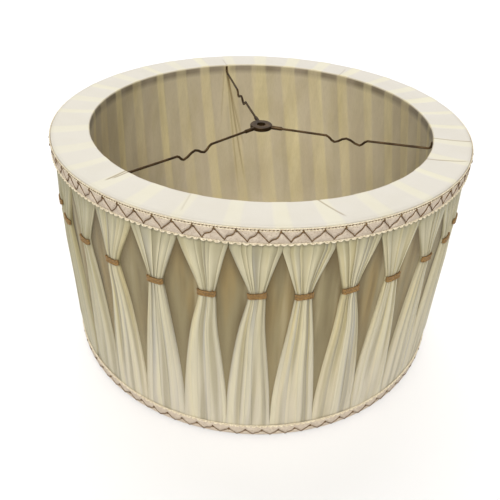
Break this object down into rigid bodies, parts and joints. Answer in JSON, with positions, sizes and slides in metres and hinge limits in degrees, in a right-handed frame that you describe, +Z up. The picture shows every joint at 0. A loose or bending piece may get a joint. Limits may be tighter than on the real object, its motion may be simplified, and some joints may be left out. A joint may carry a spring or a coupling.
{
  "type": "lamp shade",
  "caption": "Drum lamp shade with a wire spider fitter, a flat collar, a pleated lining, pleats drawn into bunches by ties, and braid at both edges.",
  "frame": {"origin": "middle of the lower edge, on the plane that the shade stands on", "axes": "+Z up along the drum's axis, through the hub's hole; -Y towards the viewer"},
  "size_m": [0.5144, 0.5137, 0.296],
  "materials": {
    "frame_steel": "dull dark lacquer on steel wire and strip",
    "spider_bronze": "dark bronze, slightly worn",
    "lining_cloth": "sheer cream cloth in flat knife pleats",
    "cover_cloth": "plain tan cloth, softly puckered",
    "overlay_cloth": "pale cream cloth with a soft sheen, in fine folds",
    "tie_cord": "brown twisted thread, braided",
    "braid_tape": "pinkish cream woven tape with looped edges",
    "braid_cord": "brown twisted cord"
  },
  "bodies": {
    "root": {"top_outer_ring": "frame_steel", "top_inner_ring": "frame_steel", "bottom_ring": "frame_steel", "rib_1": "frame_steel", "rib_2": "frame_steel", "rib_3": "frame_steel", "rib_4": "frame_steel", "rib_5": "frame_steel", "rib_6": "frame_steel", "spider_hub": "spider_bronze", "spider_arm_1": "spider_bronze", "spider_arm_2": "spider_bronze", "spider_arm_3": "spider_bronze", "lining": "lining_cloth", "base_cover": "cover_cloth", "pleated_overlay": "overlay_cloth", "tie_01": "tie_cord", "tie_02": "tie_cord", "tie_03": "tie_cord", "tie_04": "tie_cord", "tie_05": "tie_cord", "tie_06": "tie_cord", "tie_07": "tie_cord", "tie_08": "tie_cord", "tie_09": "tie_cord", "tie_10": "tie_cord", "tie_11": "tie_cord", "tie_12": "tie_cord", "tie_13": "tie_cord", "tie_14": "tie_cord", "tie_15": "tie_cord", "tie_16": "tie_cord", "tie_17": "tie_cord", "tie_18": "tie_cord", "tie_19": "tie_cord", "tie_20": "tie_cord", "tie_21": "tie_cord", "tie_22": "tie_cord", "tie_23": "tie_cord", "tie_24": "tie_cord", "tie_25": "tie_cord", "tie_26": "tie_cord", "tie_27": "tie_cord", "tie_28": "tie_cord", "tie_29": "tie_cord", "tie_30": "tie_cord", "tie_31": "tie_cord", "top_trim_tape": "braid_tape", "top_trim_cord": "braid_cord", "bottom_trim_tape": "braid_tape", "bottom_trim_cord": "braid_cord"}
  },
  "joints": []
}
